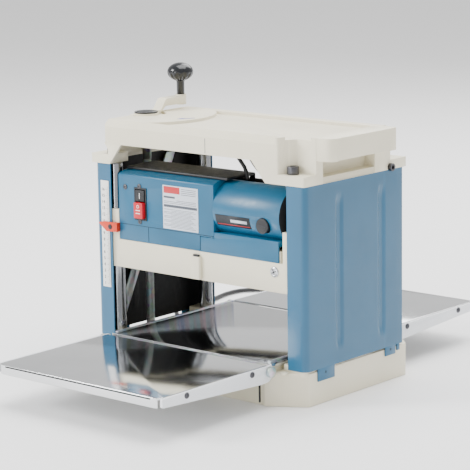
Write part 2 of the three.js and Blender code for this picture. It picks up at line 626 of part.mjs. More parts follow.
const PLUG_X = COIL_X + COIL_R + 8;
function plug() {
  const [y0, y1] = [COIL_Y - 100, COIL_Y - 62];
  const shell = prismY([
    [PLUG_X - 16, 0.4, 5], [PLUG_X + 16, 0.4, 5], [PLUG_X + 16, 29, 8], [PLUG_X - 16, 29, 8],
  ], y0, y1);
  const relief = solid(new THREE.CylinderGeometry(4.6, 7, 34, 14).translate(PLUG_X, COIL_Y - 46.2, 8.3));
  const pins = [-9.5, 9.5].map((dx) => cylY(2.4, PLUG_X + dx, 15, y0 - 19, y0 + 2, 12));
  return join(shell, relief, ...pins);
}
part('mains_plug', plug(), RUBBER);

export default planer;
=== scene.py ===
"""The looks of a portable thickness planer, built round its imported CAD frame, in metres.

+X is the operator's right, +Y the feed direction and +Z up, with the origin under the base.
"""

import json
import math

import bmesh
import bpy
from mathutils import Matrix, Vector


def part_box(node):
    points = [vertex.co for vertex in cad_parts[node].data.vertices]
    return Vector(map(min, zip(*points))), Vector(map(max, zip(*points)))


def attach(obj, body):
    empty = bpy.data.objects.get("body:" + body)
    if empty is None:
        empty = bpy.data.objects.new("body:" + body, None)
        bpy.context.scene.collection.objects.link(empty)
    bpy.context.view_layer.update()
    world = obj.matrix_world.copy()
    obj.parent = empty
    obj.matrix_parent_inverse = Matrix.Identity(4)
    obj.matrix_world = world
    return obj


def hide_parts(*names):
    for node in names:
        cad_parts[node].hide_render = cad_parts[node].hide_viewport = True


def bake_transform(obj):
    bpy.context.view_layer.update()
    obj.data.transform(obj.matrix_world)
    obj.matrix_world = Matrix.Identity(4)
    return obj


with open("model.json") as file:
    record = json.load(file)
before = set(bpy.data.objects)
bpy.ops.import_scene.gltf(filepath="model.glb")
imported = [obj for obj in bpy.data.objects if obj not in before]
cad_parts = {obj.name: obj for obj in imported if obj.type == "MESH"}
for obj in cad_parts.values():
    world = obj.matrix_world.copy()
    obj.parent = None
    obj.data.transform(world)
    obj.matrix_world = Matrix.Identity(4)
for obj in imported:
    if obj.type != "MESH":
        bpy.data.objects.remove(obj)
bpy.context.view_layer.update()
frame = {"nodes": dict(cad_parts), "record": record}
MM = 0.001
SIDES = (("left", -1), ("right", 1))
ENDS = (("front", -1), ("rear", 1))


# ---------------------------------------------------------------- camera, floor and light
def srgb(r, g, b):
    """A linear colour from 0..255 display values."""
    def lin(v):
        v /= 255
        return v / 12.92 if v <= 0.04045 else ((v + 0.055) / 1.055) ** 2.4
    return (lin(r), lin(g), lin(b), 1.0)


def add_camera():
    azimuth, elevation, roll = (math.radians(a) for a in (40.787, 10.847, -0.885))
    target, distance = Vector((-0.026346, 0, 0.214625)), 3.212638
    right = Vector((math.cos(azimuth), math.sin(azimuth), 0))
    back = Vector((math.sin(azimuth) * math.cos(elevation),
                   -math.cos(azimuth) * math.cos(elevation), math.sin(elevation)))
    up = back.cross(right)
    turned = right * math.cos(roll) + up * math.sin(roll)
    camera = bpy.data.objects.new("camera", bpy.data.cameras.new("camera"))
    camera.data.lens = 157.14
    camera.data.sensor_width = 36
    camera.data.clip_end = 50
    axes = Matrix((turned, back.cross(turned), back)).transposed()
    camera.matrix_world = Matrix.Translation(target + back * distance) @ axes.to_4x4()
    bpy.context.scene.collection.objects.link(camera)
    bpy.context.scene.camera = camera


def area_light(name, place, aim, size, power):
    light = bpy.data.lights.new(name, "AREA")
    light.energy, light.size = power, size
    lamp = bpy.data.objects.new(name, light)
    lamp.location = place
    lamp.rotation_euler = (Vector(aim) - Vector(place)).to_track_quat("-Z", "Y").to_euler()
    bpy.context.scene.collection.objects.link(lamp)


def add_stage():
    bm = bmesh.new()
    bmesh.ops.create_grid(bm, x_segments=1, y_segments=1, size=12)
    floor = mesh_object("floor", bm)
    floor.location.z = -0.0005
    floor.data.materials.append(plain("floor_paper", srgb(250, 250, 250), 0.9))
    world = bpy.data.worlds.new("studio")
    world.use_nodes = True
    world.node_tree.nodes["Background"].inputs["Color"].default_value = (1, 1, 1, 1)
    world.node_tree.nodes["Background"].inputs["Strength"].default_value = 1.0
    bpy.context.scene.world = world
    area_light("key", (-2.2, -2.4, 2.0), (0, 0, 0.2), 1.2, 120)
    area_light("overhead", (0.2, 0.4, 3.4), (0, 0.1, 0), 2.6, 150)
    area_light("front_card", (-0.3, -3.2, 0.7), (0, 0, 0.25), 1.2, 26)
    area_light("back", (-0.6, 2.4, 2.4), (0, 0, 0.25), 2.0, 70)


# ---------------------------------------------------------------- materials
class Shade:
    """A small helper that wires a material's nodes in object space, in metres."""

    def __init__(self, name):
        self.material = bpy.data.materials.new(name)
        self.material.use_nodes = True
        self.tree = self.material.node_tree
        self.bsdf = self.tree.nodes["Principled BSDF"]
        self.place = self.tree.nodes.new("ShaderNodeTexCoord").outputs["Object"]

    def link(self, a, b):
        self.tree.links.new(a, b)

    def set(self, **values):
        for key, value in values.items():
            self.bsdf.inputs[key.replace("_", " ")].default_value = value
        return self

    def scaled(self, x, y, z):
        node = self.tree.nodes.new("ShaderNodeMapping")
        node.inputs["Scale"].default_value = (x, y, z)
        self.link(self.place, node.inputs["Vector"])
        return node.outputs["Vector"]

    def noise(self, scale, detail=4, rough=0.55, stretch=(1, 1, 1)):
        node = self.tree.nodes.new("ShaderNodeTexNoise")
        node.inputs["Scale"].default_value = scale
        node.inputs["Detail"].default_value = detail
        node.inputs["Roughness"].default_value = rough
        self.link(self.scaled(*stretch), node.inputs["Vector"])
        return node.outputs["Fac"]

    def cells(self, scale, output="Color"):
        node = self.tree.nodes.new("ShaderNodeTexVoronoi")
        node.inputs["Scale"].default_value = scale
        self.link(self.place, node.inputs["Vector"])
        return node.outputs[output]

    def ramp(self, value, *stops):
        node = self.tree.nodes.new("ShaderNodeValToRGB")
        ends = node.color_ramp.elements
        while len(ends) < len(stops):
            ends.new(0.5)
        for stop, (at, colour) in zip(ends, stops):
            stop.position = at
            stop.color = colour if len(colour) == 4 else (*colour, 1)
        self.link(value, node.inputs["Fac"])
        return node.outputs["Color"]

    def spread(self, value, low, high):
        node = self.tree.nodes.new("ShaderNodeMapRange")
        node.inputs["From Min"].default_value = 0.3
        node.inputs["From Max"].default_value = 0.7
        node.inputs["To Min"].default_value = low
        node.inputs["To Max"].default_value = high
        self.link(value, node.inputs["Value"])
        return node.outputs["Result"]

    def mix(self, factor, a, b, blend="MIX"):
        node = self.tree.nodes.new("ShaderNodeMix")
        node.data_type, node.blend_type = "RGBA", blend
        for value, socket in ((factor, 0), (a, 6), (b, 7)):
            if isinstance(value, (float, int, tuple)):
                node.inputs[socket].default_value = value
            else:
                self.link(value, node.inputs[socket])
        return node.outputs[2]

    def worn_edges(self, low=0.51, high=0.58):
        node = self.tree.nodes.new("ShaderNodeNewGeometry")
        return self.ramp(node.outputs["Pointiness"], (low, (0, 0, 0)), (high, (1, 1, 1)))

    def colour(self, socket):
        self.link(socket, self.bsdf.inputs["Base Color"])
        return self

    def roughness(self, socket):
        self.link(socket, self.bsdf.inputs["Roughness"])
        return self

    def bump(self, height, strength, distance):
        node = self.tree.nodes.new("ShaderNodeBump")
        node.inputs["Strength"].default_value = strength
        node.inputs["Distance"].default_value = distance
        self.link(height, node.inputs["Height"])
        self.link(node.outputs["Normal"], self.bsdf.inputs["Normal"])
        return self


def scaled_colour(colour, factor):
    return tuple(min(1.0, c * factor) for c in colour[:3]) + (1.0,)


def plain(name, colour, rough):
    s = Shade(name).set(Base_Color=colour, Roughness=rough)
    return s.material


def painted(name, colour, rough=0.42, grain=900, strength=0.12, variation=0.05, wear=0.25, coat=0.0):
    """Paint on metal: slight colour drift, orange peel, and paler rubbed edges."""
    s = Shade(name).set(Coat_Weight=coat, Coat_Roughness=0.2)
    drift = s.ramp(s.noise(9, 5), (0.35, scaled_colour(colour, 1 - variation)),
                   (0.65, scaled_colour(colour, 1 + variation)))
    rubbed = s.mix(s.worn_edges(), (0, 0, 0, 1), (wear, wear, wear, 1))
    s.colour(s.mix(rubbed, drift, scaled_colour(colour, 1.35)))
    s.roughness(s.spread(s.noise(45, 4), rough - 0.05, rough + 0.06))
    return s.bump(s.noise(grain, 3), strength, 0.0004).material


def moulded(name, colour, rough=0.4, grain=1400, strength=0.2, variation=0.06, specular=0.5):
    """Moulded plastic with a fine leathery grain."""
    s = Shade(name).set(Specular_IOR_Level=specular)
    s.colour(s.ramp(s.noise(14, 5), (0.35, scaled_colour(colour, 1 - variation)),
                    (0.65, scaled_colour(colour, 1 + variation))))
    s.roughness(s.spread(s.noise(120, 3), rough - 0.05, rough + 0.06))
    return s.bump(s.cells(grain, "Distance"), strength, 0.0003).material


def metal(name, colour, low, high, stretch=(1, 1, 1), grain=400, strength=0.06, variation=0.06):
    """Bare metal whose scratches run along one axis."""
    s = Shade(name).set(Metallic=1.0)
    lines = s.noise(grain, 3, 0.6, stretch)
    s.colour(s.ramp(s.noise(6, 6), (0.3, scaled_colour(colour, 1 - variation)),
                    (0.7, scaled_colour(colour, 1 + variation))))
    s.roughness(s.spread(lines, low, high))
    return s.bump(lines, strength, 0.0002).material


def galvanised(name, colour):
    s = Shade(name).set(Metallic=0.9)
    flakes = s.cells(110)
    s.colour(s.mix(0.22, s.ramp(s.noise(30, 4), (0.3, scaled_colour(colour, 0.86)),
                                (0.7, scaled_colour(colour, 1.1))), flakes, "OVERLAY"))
    s.roughness(s.spread(s.noise(160, 3), 0.28, 0.46))
    return s.bump(s.noise(300, 3), 0.08, 0.0003).material


CREAM = srgb(226, 219, 196)
BLUE = srgb(22, 94, 128)
BLACK = srgb(20, 22, 26)
LOOK = {
    "cream": painted("cream_paint", CREAM, 0.40, 700, 0.16, 0.03),
    "blue_paint": painted("blue_paint", srgb(20, 88, 122), 0.34, 1100, 0.10, 0.05, 0.3, 0.2),
    "blue_plastic": moulded("blue_plastic", BLUE, 0.34, 1500, 0.14),
    "black_plastic": moulded("black_plastic", BLACK, 0.45),
    # Dark moulded material for the motor's dark end cap and the head's seams. It is also painted shade
    # on the side covers' inner skins, in the step by the base's corner block and on the sub-tables'
    # edges.
    "dark_parts_and_painted_shade": moulded("dark_parts_and_painted_shade", srgb(22, 23, 26), 0.7),
    "knob": moulded("knob_plastic", srgb(12, 15, 20), 0.2, 500, 0.03, 0.08),
    "polished": metal("polished_steel", (0.70, 0.71, 0.72, 1), 0.07, 0.17, (8, 0.25, 1), 260, 0.03),
    # The columns' steel colour is darkened as painted shade, for the shadow they stand in inside the
    # machine.
    "column": metal("shaded_column_steel", (0.34, 0.35, 0.37, 1), 0.14, 0.24, (1, 1, 12), 120, 0.05),
    "machined": metal("machined_steel", (0.55, 0.56, 0.58, 1), 0.2, 0.36, (1, 6, 1), 300, 0.1),
    "dark_steel": metal("dark_steel", (0.10, 0.10, 0.11, 1), 0.32, 0.5, (1, 1, 1), 300, 0.1),
    "zinc": galvanised("zinc_plate", (0.56, 0.58, 0.60, 1)),
    "white": painted("white_arm_paint", srgb(232, 235, 240), 0.36, 900, 0.1, 0.03),
    "scale": painted("scale_white", srgb(238, 238, 234), 0.4, 900, 0.03, 0.02, 0.1),
    "ink": moulded("ink", srgb(30, 34, 40), 0.5, 2000, 0.02),
    "grey_ink": moulded("grey_ink", srgb(74, 80, 90), 0.5, 2000, 0.02),
    "label": painted("label_foil", srgb(206, 212, 222), 0.3, 1500, 0.03, 0.04, 0.1),
    "red_ink": moulded("red_ink", srgb(196, 40, 48), 0.4, 2000, 0.02),
    "orange": moulded("orange_plastic", srgb(214, 58, 20), 0.38, 1600, 0.1),
    "red": moulded("red_plastic", srgb(196, 20, 38), 0.35, 1600, 0.08),
    "bronze": metal("bronze", (0.50, 0.33, 0.15, 1), 0.25, 0.4),
    "iron": metal("laminated_iron", (0.28, 0.28, 0.29, 1), 0.35, 0.5, (14, 1, 1), 300, 0.3),
    "rubber": moulded("rubber", srgb(30, 30, 32), 0.55, 900, 0.12, 0.08),
    "cord": moulded("cord_sheath", srgb(28, 28, 30), 0.45, 1200, 0.06, 0.08),
    "mark": painted("violet_mark", srgb(92, 96, 190), 0.45, 1500, 0.04, 0.05, 0.1),
}


# ---------------------------------------------------------------- mesh tools
def mesh_object(name, bm, look=None, body=None):
    mesh = bpy.data.meshes.new(name)
    bmesh.ops.recalc_face_normals(bm, faces=bm.faces)
    bm.to_mesh(mesh)
    bm.free()
    obj = bpy.data.objects.new(name, mesh)
    bpy.context.scene.collection.objects.link(obj)
    if look:
        mesh.materials.append(LOOK[look])
    if body:
        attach(obj, body)
    return obj


def smooth(bm, angle=34):
    """Smooth faces whose edges stay crisp past the angle."""
    for face in bm.faces:
        face.smooth = True
    for edge in bm.edges:
        edge.smooth = len(edge.link_faces) == 2 and edge.calc_face_angle(0) < math.radians(angle)


def soften(bm, width, segments=2, angle=30):
    """Rounds the sharp edges of a closed mesh."""
    sharp = [e for e in bm.edges
             if len(e.link_faces) == 2 and e.calc_face_angle(0) > math.radians(angle)]
    bmesh.ops.bevel(bm, geom=sharp, offset=width, segments=segments, profile=0.5,
                    affect="EDGES", clamp_overlap=True)
    smooth(bm)


def cleaned_copy(node):
    bm = bmesh.new()
    bm.from_mesh(frame["nodes"][node].data)
    bmesh.ops.remove_doubles(bm, verts=bm.verts, dist=2e-6)
    bmesh.ops.dissolve_limit(bm, angle_limit=math.radians(0.6), verts=bm.verts, edges=bm.edges)
    return bm


def body_of(node):
    return next(b for b, nodes in frame["record"]["behaviour"]["bodies"].items() if node in nodes)


def stands_for(obj, *nodes):
    """The piece rides with the body of the CAD node that it stands for, and that node is hidden."""
    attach(obj, body_of(nodes[0]))
    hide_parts(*nodes)
    return obj


def refine(node, look, width=0.0008, segments=2):
    """The CAD node with rounded edges, smooth shading and its finished material."""
    bm = cleaned_copy(node)
    soften(bm, width, segments)
    obj = mesh_object(f"{node}_shell", bm, look)
    return stands_for(obj, node)


def slab(bm, low, high, width=0.0, segments=2):
    """A box from one corner to the other, with rounded edges."""
    low, high = Vector(low), Vector(high)
    made = bmesh.ops.create_cube(bm, size=1, matrix=Matrix.Translation((low + high) / 2)
                                 @ Matrix.Diagonal((*(high - low), 1)))["verts"]
    if width:
        edges = list({e for v in made for e in v.link_edges})
        bmesh.ops.bevel(bm, geom=edges, offset=width, segments=segments, profile=0.5,
                        affect="EDGES", clamp_overlap=True)


def lathe(bm, profile, matrix, steps=36):
    """Turns a profile of (radius, height) points round the Z axis of the matrix."""
    rings = []
    for radius, height in profile:
        if radius < 1e-7:
            rings.append([bm.verts.new(matrix @ Vector((0, 0, height)))])
        else:
            rings.append([bm.verts.new(matrix @ Vector((
                radius * math.cos(2 * math.pi * i / steps),
                radius * math.sin(2 * math.pi * i / steps), height))) for i in range(steps)])
    for low, high in zip(rings, rings[1:]):
        for i in range(steps):
            j = (i + 1) % steps
            corners = [low[i % len(low)], low[j % len(low)], high[j % len(high)], high[i % len(high)]]
            unique = list(dict.fromkeys(corners))
            if len(unique) > 2:
                bm.faces.new(unique)


def rounded_profile(corners, radius, steps=4):
    """The open profile through the corners with each inner corner rounded."""
    points = [Vector(corners[0])]
    for before, corner, after in zip(corners, corners[1:], corners[2:]):
        corner, before, after = Vector(corner), Vector(before), Vector(after)
        r = min(radius, (before - corner).length * 0.45, (after - corner).length * 0.45)
        enter = corner + (before - corner).normalized() * r
        leave = corner + (after - corner).normalized() * r
        for i in range(steps + 1):
            t = i / steps
            points.append(enter * (1 - t) ** 2 + corner * 2 * t * (1 - t) + leave * t * t)
    points.append(Vector(corners[-1]))
    return points


AXIS_TURN = {
    "+x": Matrix.Rotation(math.radians(90), 4, "Y"), "-x": Matrix.Rotation(math.radians(-90), 4, "Y"),
    "+y": Matrix.Rotation(math.radians(-90), 4, "X"), "-y": Matrix.Rotation(math.radians(90), 4, "X"),
    "+z": Matrix.Identity(4), "-z": Matrix.Rotation(math.radians(180), 4, "X"),
}


def facing(place, axis):
    return Matrix.Translation(place) @ AXIS_TURN[axis]


def screw_head(bm, place, axis, radius, height, socket="cross"):
    """A domed or cylindrical screw head that stands on place, with a cross or a hex socket."""
    m = facing(place, axis)
    if socket == "hex":
        profile = rounded_profile([(radius, 0), (radius, height), (radius * 0.52, height),
                                   (radius * 0.5, height * 0.35), (0, height * 0.35)], radius * 0.12)
        lathe(bm, [(0, 0)] + [tuple(p) for p in profile], m, 30)
        return
    profile = [(0, 0), (radius, 0), (radius, height * 0.3), (radius * 0.9, height * 0.62),
               (radius * 0.68, height * 0.86), (radius * 0.4, height), (0, height)]
    lathe(bm, profile, m, 28)
    for quarter in (0, 1):
        turn = m @ Matrix.Rotation(math.radians(90 * quarter + 25), 4, "Z")
        bar = bmesh.ops.create_cube(bm, size=1, matrix=turn @ Matrix.Translation((0, 0, height))
                                    @ Matrix.Diagonal((radius * 1.1, radius * 0.2, height * 0.12, 1)))
        for v in bar["verts"]:
            for f in v.link_faces:
                f.material_index = 1


def finish_piece(name, bm, looks, body, angle=34):
    smooth(bm, angle)
    obj = mesh_object(name, bm, None, body)
    for look in looks:
        obj.data.materials.append(LOOK[look])
    return obj


def screws(name, places, axis, radius, height, body, look="dark_steel", socket="cross"):
    bm = bmesh.new()
    for place in places:
        screw_head(bm, place, axis, radius, height, socket)
    return finish_piece(name, bm, (look, "ink"), body)


# ---------------------------------------------------------------- mains cord
def centripetal(points, step=0.004):
    """A smooth curve through the points, close-spaced."""
    pts = [Vector(p) for p in points]
    pts = [pts[0] * 2 - pts[1]] + pts + [pts[-1] * 2 - pts[-2]]
    out = []
    for a, b, c, d in zip(pts, pts[1:], pts[2:], pts[3:]):
        t = [0.0]
        for p, q in ((a, b), (b, c), (c, d)):
            t.append(t[-1] + math.sqrt((q - p).length))
        count = max(2, round((c - b).length / step))
        for i in range(count):
            u = t[1] + (t[2] - t[1]) * i / count
            a1 = a * (t[1] - u) / (t[1] - t[0]) + b * (u - t[0]) / (t[1] - t[0])
            a2 = b * (t[2] - u) / (t[2] - t[1]) + c * (u - t[1]) / (t[2] - t[1])
            a3 = c * (t[3] - u) / (t[3] - t[2]) + d * (u - t[2]) / (t[3] - t[2])
            b1 = a1 * (t[2] - u) / (t[2] - t[0]) + a2 * (u - t[0]) / (t[2] - t[0])
            b2 = a2 * (t[3] - u) / (t[3] - t[1]) + a3 * (u - t[1]) / (t[3] - t[1])
            out.append(b1 * (t[2] - u) / (t[2] - t[1]) + b2 * (u - t[1]) / (t[2] - t[1]))
    return out + [pts[-2]]


CORD_DIAMETER = 0.0075
CORD_ROUTE_MM = [
    (-239.6, 103, 337), (-249, 103, 336), (-260, 103.5, 330), (-268, 104.5, 318), (-271, 106, 300),
    (-271.5, 108, 260), (-271, 111, 210), (-270.5, 114, 160), (-270.5, 118, 110), (-272, 124, 66),
    (-277, 134, 32), (-286, 150, 12.5), (-299, 173, 4.8), (-318, 207, 4.1), (-342, 257, 4.1),
    (-362, 305, 4.1), (-376, 352, 4.1), (-384, 392, 4.1), (-380, 426, 4.1), (-358, 449, 4.1),
    (-325, 461, 4.1), (-280, 466, 4.1), (-245, 467, 4.1), (-219.2, 467, 4.1),
]


def coil_points():
    """Two flat spirals, one on the other: inwards on the bench, then outwards above it."""
    low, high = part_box("cord_coil")
    centre = (low + high) / 2
    outer = (high.x - low.x) / 2 - 0.5 * CORD_DIAMETER - 0.0003
    pitch, turns, climb = 0.00765, 2.125, 1.0
    total, per_turn = 2 * turns + climb, 24
    points = []
    for i in range(round(total * per_turn) + 1):
        t = i / per_turn
        angle = math.pi / 2 - 2 * math.pi * t
        rise = min(max((t - turns) / climb, 0), 1)
        inward = turns if 0 < rise < 1 else (t if rise == 0 else total - t)
        r = outer - pitch * inward
        points.append((centre.x + r * math.cos(angle), centre.y + r * math.sin(angle),
                       0.0041 + 0.0078 * rise))
    return points


def add_cord():
    route = [tuple(c * MM for c in p) for p in CORD_ROUTE_MM]
    plug_low, plug_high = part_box("mains_plug")
    relief = (plug_low.x + plug_high.x) / 2
    tail = [(relief, plug_high.y + 0.016, 0.0098), (relief, plug_high.y + 0.0005, 0.0083)]
    path = centripetal(route + coil_points() + tail)
    curve = bpy.data.curves.new("power_cord_flex", "CURVE")
    curve.dimensions, curve.bevel_depth, curve.bevel_resolution = "3D", CORD_DIAMETER / 2, 4
    curve.use_fill_caps = True
    spline = curve.splines.new("POLY")
    spline.points.add(len(path) - 1)
    for point, p in zip(spline.points, path):
        point.co = (*p, 1)
    spline.use_smooth = True
    cord = bpy.data.objects.new("power_cord_flex", curve)
    curve.materials.append(LOOK["cord"])
    bpy.context.scene.collection.objects.link(cord)
    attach(cord, "root")
    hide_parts("power_cord", "cord_coil")
    plug = refine("mains_plug", "rubber", 0.001)


# ---------------------------------------------------------------- blue side covers
RIB_HALF = 0.0105  # half the width of a pressed channel
RIB_DEPTH = 0.0026
RIB_CENTRES = (-0.039, 0.065)
COVER_BOTTOM = 0.054


def side_cover(name, side):
    """A folded sheet with rounded corners, two shallow pressed channels and bolted tabs."""
    node = f"{name}_side_cover"
    low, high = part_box(node)
    outer = max(abs(low.x), abs(high.x))
    half, sheet = high.y, 0.002
    flange = min(abs(low.x), abs(high.x))
    bottom = COVER_BOTTOM
    spots = [(Vector((flange, -half)), Vector((0, -1)))]
    for corner, start in ((0.010, -90), (0.005, 0)):
        centre_y = half - corner if start == 0 else corner - half
        for i in range(9):
            a = math.radians(start + 90 * i / 8)
            d = Vector((math.cos(a), math.sin(a)))
            spots.append((Vector((outer - corner, centre_y)) + d * corner, d))
        if start == -90:
            ys = sorted({-0.1 + 0.2 * i / 50 for i in range(51)}
                        | {rib + k * RIB_HALF / 6 for rib in RIB_CENTRES for k in range(-6, 7)})
            spots += [(Vector((outer, y)), Vector((1, 0))) for y in ys]
    spots.append((Vector((flange, half)), Vector((0, 1))))
    levels = [bottom + (high.z - bottom) * i / 46 for i in range(47)]

    def press(spot, z):
        if spot.x < outer - 1e-6:
            return 0.0
        ends = min(1, max(0, (z - bottom - 0.022) / 0.014)) * min(1, max(0, (high.z - 0.02 - z) / 0.014))
        depth = 0.0
        for rib in RIB_CENTRES:
            u = abs(spot.y - rib) / RIB_HALF
            if u < 1:
                depth = max(depth, 0.5 + 0.5 * math.cos(math.pi * u))
        return RIB_DEPTH * min(1, 1.5 * depth) * ends * ends * (3 - 2 * ends)

    bm = bmesh.new()
    skins = []
    for inset in (0.0, sheet):
        rows = []
        for spot, normal in spots:
            rows.append([])
            for z in levels:
                p = spot - normal * (inset + press(spot, z))
                rows[-1].append(bm.verts.new((side * p.x, p.y, z)))
        skins.append(rows)
        for a, b in zip(rows, rows[1:]):
            for k in range(len(levels) - 1):
                face = bm.faces.new((a[k], b[k], b[k + 1], a[k + 1]))
                # The inner skin takes material slot 1, the dark material, as painted shade for the
                # shadow inside the cover.
                face.material_index = 1 if inset else 0
    (out, inn), last = skins, len(levels) - 1
    for i in range(len(spots) - 1):
        for k in (0, last):
            bm.faces.new((out[i][k], out[i + 1][k], inn[i + 1][k], inn[i][k]))
    for k in range(last):
        for i in (0, len(spots) - 1):
            bm.faces.new((out[i][k], out[i][k + 1], inn[i][k + 1], inn[i][k]))
    x0, x1 = sorted((side * (outer - sheet), side * outer))
    for y0, y1, z0 in ((-0.092, -0.052, 0.035), (0.074, 0.1, 0.04), (0.104, 0.111, 0.044)):
        slab(bm, (x0, y0, z0), (x1, y1, bottom + 0.0005), 0.0006)
    smooth(bm)
    panel = stands_for(mesh_object(f"{name}_side_panel", bm, "blue_paint"), node)
    # Slot 1 is painted shade: the inside of the blue sheet is drawn dark for its shadow.
    panel.data.materials.append(LOOK["dark_parts_and_painted_shade"])
    axis = "+x" if side > 0 else "-x"
    face = side * outer
    under = face - side * 0.0022
    screws(f"{name}_cover_screws", [(under, -0.074, 0.047), (under, 0.087, 0.049)],
           axis, 0.0045, 0.0022, "root")


# ---------------------------------------------------------------- folding sub-tables
def sub_table(name, end):
    for side_name, side in SIDES:
        refine(f"{name}_table_{side_name}_arm", "white", 0.0006)
        x = side * 0.167
        screws(f"{name}_table_{side_name}_screws",
               [(x, end * y, 0.0595) for y in (0.191, 0.333)], "+x" if side > 0 else "-x",
               0.0046, 0.0026, f"{name}_table")
    refine(f"{name}_table_plate", "polished", 0.0009, 3)
    refine(f"{name}_hinge_rod", "zinc", 0.0006)


# ---------------------------------------------------------------- details on the head
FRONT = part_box("switch_box")[0].y  # front face of the cutter head
SKIN = 0.0003  # how far labels stand on their surface


def panel(name, looks, x, y, z, body, width=0.0004, slot="scale_white"):
    """A thin rounded plate; each range is (low, high)."""
    bm = bmesh.new()
    slab(bm, (x[0], y[0], z[0]), (x[1], y[1], z[1]), width)
    return finish_piece(name, bm, looks, body)


def numbers(name, texts, size, turn, body, look):
    """Raised numerals at the given places, as one mesh."""
    bm = bmesh.new()
    for text, place in texts:
        font = bpy.data.curves.new(name, "FONT")
        font.body, font.size, font.extrude = text, size, 0.0001
        font.align_x, font.align_y, font.resolution_u = "CENTER", "CENTER", 3
        made = bpy.data.objects.new(name, font)
        bpy.context.scene.collection.objects.link(made)
        bpy.context.view_layer.update()
        shaped = made.evaluated_get(bpy.context.evaluated_depsgraph_get())
        mesh = bpy.data.meshes.new_from_object(shaped)
        mesh.transform(Matrix.Translation(place) @ turn)
        bm.from_mesh(mesh)
        bpy.data.objects.remove(made)
        bpy.data.meshes.remove(mesh)
    return finish_piece(name, bm, (look,), body)


UPRIGHT = Matrix.Rotation(math.radians(90), 4, "X")


def switch_details():
    places = ((-0.150, 0.295), (-0.120, 0.2985), (-0.120, 0.2432))
    screws("switch_box_screws", [(x, FRONT, z) for x, z in places], "-y", 0.0042, 0.0018, "head")
    low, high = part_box("off_button")
    y = low.y
    bm = bmesh.new()
    x0, x1, z0, z1 = low.x - 0.001, high.x + 0.001, low.z - 0.001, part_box("on_button")[1].z + 0.001
    rim = 0.0026
    for x, z in (((x0 - rim, x0), (z0 - rim, z1 + rim)), ((x1, x1 + rim), (z0 - rim, z1 + rim)),
                 ((x0, x1), (z0 - rim, z0)), ((x0, x1), (z1, z1 + rim))):
        slab(bm, (x[0], FRONT - 0.0012, z[0]), (x[1], FRONT + 0.0008, z[1]), 0.0003)
    finish_piece("switch_rim", bm, ("black_plastic",), "head")
    bm = bmesh.new()
    middle = (low.x + high.x) / 2
    for z in (0.2565, 0.2612):
        slab(bm, (middle - 0.0045, y - 0.0003, z), (middle + 0.0045, y + 0.0002, z + 0.0013), 0.0001)
    lathe(bm, [(0.0026, 0), (0.0026, 0.0003), (0.0018, 0.0003), (0.0018, 0), (0.0026, 0)],
          facing((middle, y, 0.2678), "-y"), 20)
    finish_piece("off_mark", bm, ("scale",), "off_switch")
    on_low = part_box("on_button")[0]
    bm = bmesh.new()
    slab(bm, (middle - 0.0006, on_low.y - 0.0003, 0.2795),
         (middle + 0.0006, on_low.y + 0.0002, 0.2885), 0.0001)
    finish_piece("on_mark", bm, ("scale",), "on_switch")


def labels():
    """The rating plate and the motor's name plate, with plain bars in place of their words."""
    y = (FRONT - SKIN, FRONT + 0.0001)
    panel("rating_plate", ("label",), (-0.071, 0.001), y, (0.2386, 0.306), "head", 0.0001)
    bars = bmesh.new()
    front = FRONT - SKIN - 0.0001
    slab(bars, (-0.069, front, 0.294), (-0.036, FRONT, 0.3045), 0.0001)
    finish_piece("rating_plate_header", bars, ("red_ink",), "head")
    bars = bmesh.new()
    slab(bars, (-0.069, front, 0.2725), (-0.001, FRONT, 0.2765), 0.0001)
    slab(bars, (-0.069, front, 0.2865), (-0.046, FRONT, 0.2895), 0.0001)
    for row in range(14):
        z = 0.2415 + 0.0021 * row
        right = -0.004 - 0.003 * ((row * 5) % 4)
        left = -0.069 if row % 3 else -0.055
        slab(bars, (left, front, z), (right, FRONT, z + 0.0006), 0.0001, 1)
    for row in range(3):
        z = 0.2785 + 0.0024 * row
        slab(bars, (-0.069 + 0.026 * (row == 2), front, z), (-0.003, FRONT, z + 0.0007), 0.0001, 1)
    for row in range(4):
        z = 0.2935 + 0.0028 * row
        slab(bars, (-0.033, front, z), (-0.003, FRONT, z + 0.0008), 0.0001, 1)
    finish_piece("rating_plate_lines", bars, ("grey_ink",), "head")
    motor_low, motor_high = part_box("motor_armature")
    axis = Vector((0, (motor_low.y + motor_high.y) / 2, (motor_low.z + motor_high.z) / 2))
    radius = axis.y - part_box("motor_housing")[0].y
    for name, look, z0, z1, x0, x1, extra in (
            ("name_plate", "ink", 0.2555, 0.2725, 0.037, 0.104, 0.0003),
            ("name_plate_line", "red_ink", 0.2575, 0.2586, 0.039, 0.102, 0.0004),
            ("name_plate_bar", "label", 0.2625, 0.2668, 0.066, 0.098, 0.0004)):
        bm = bmesh.new()
        rings = []
        for i in range(9):
            z = z0 + (z1 - z0) * i / 8
            angle = math.asin((z - axis.z) / radius)
            inner, outer = radius - 0.0006, radius + extra
            rings.append([bm.verts.new((x, axis.y - r * math.cos(angle), axis.z + r * math.sin(angle)))
                          for r, x in ((inner, x0), (outer, x0), (outer, x1), (inner, x1))])
        for a, b in zip(rings, rings[1:]):
            for k in range(4):
                bm.faces.new((a[k], a[(k + 1) % 4], b[(k + 1) % 4], b[k]))
        bm.faces.new(rings[0])
        bm.faces.new(rings[-1])
        finish_piece(name, bm, (look,), "head")


